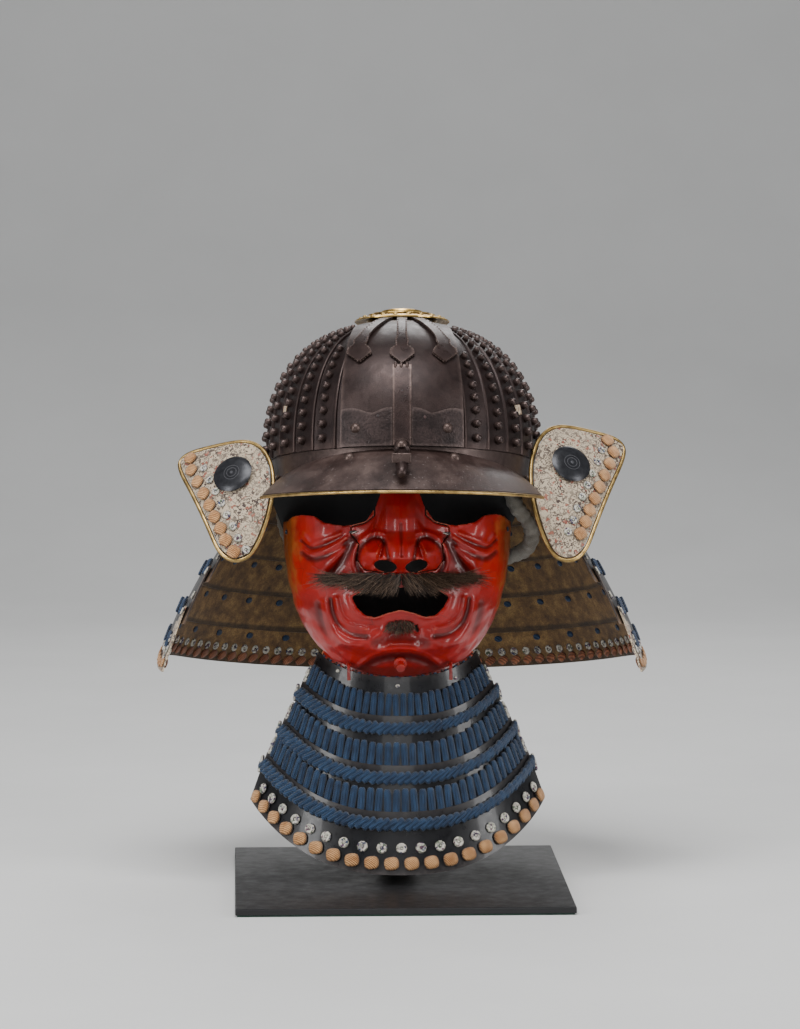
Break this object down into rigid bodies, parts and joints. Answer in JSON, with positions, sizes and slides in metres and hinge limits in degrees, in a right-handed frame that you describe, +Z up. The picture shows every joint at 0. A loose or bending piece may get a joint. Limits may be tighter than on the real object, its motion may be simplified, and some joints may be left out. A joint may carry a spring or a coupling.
{
  "type": "samurai helmet with face mask and throat guard on a stand",
  "caption": "Ribbed iron helmet with visor, flared neck guard and turn-backs, a fierce red face mask and a laced throat guard, standing on a black stand.",
  "frame": {"origin": "centre of the underside of the felt under the base plate", "axes": "+Z up, -Y to the front where the mask looks, +X to the right seen from the front"},
  "size_m": [0.4033, 0.3923, 0.4652],
  "materials": {
    "russet_iron": "russet-lacquered iron, satin",
    "dark_iron": "dark patinated iron, satin",
    "gilt": "gilt copper and brass, worn",
    "red_lacquer": "glossy red lacquer over iron",
    "black_lacquer": "glossy black lacquer over iron",
    "printed_leather": "matt printed deerskin",
    "blue_silk": "braided silk cord",
    "brown_hair": "coarse hair",
    "grey_cord": "soft crepe cord",
    "black_paint": "black paint with light scuffs",
    "green_felt": "felt"
  },
  "bodies": {
    "root": {"bowl": "russet_iron", "front_plate": "russet_iron", "waist_band": "russet_iron", "crest_bar": "russet_iron", "crest_peg": "russet_iron", "visor": "russet_iron", "brow_plate_left": "dark_iron", "brow_plate_right": "dark_iron", "blade_centre": "dark_iron", "blade_left": "dark_iron", "blade_right": "dark_iron", "turn_back_left_boss": "dark_iron", "turn_back_right_boss": "dark_iron", "finial_base": "gilt", "finial_petals": "gilt", "finial_crown": "gilt", "finial_ring": "gilt", "visor_rim": "gilt", "turn_back_left_rim": "gilt", "turn_back_right_rim": "gilt", "turn_back_left": "printed_leather", "turn_back_right": "printed_leather", "neck_lame_1": "black_lacquer", "neck_lame_2": "black_lacquer", "neck_lame_3": "black_lacquer", "neck_lame_4": "black_lacquer", "neck_lame_5": "black_lacquer", "throat_lame_1": "black_lacquer", "throat_lame_2": "black_lacquer", "throat_lame_3": "black_lacquer", "throat_lame_4": "black_lacquer", "face_mask": "red_lacquer", "nose_plate": "red_lacquer", "chin_drain": "red_lacquer", "chin_hook_left": "red_lacquer", "chin_hook_right": "red_lacquer", "moustache": "brown_hair", "chin_tuft": "brown_hair", "throat_laces_1": "blue_silk", "throat_laces_2": "blue_silk", "throat_laces_3": "blue_silk", "throat_braid_1": "blue_silk", "throat_braid_2": "blue_silk", "throat_braid_3": "blue_silk", "chin_cord": "grey_cord", "stand_post": "black_paint", "base_plate": "black_paint", "base_felt": "green_felt"}
  },
  "joints": []
}
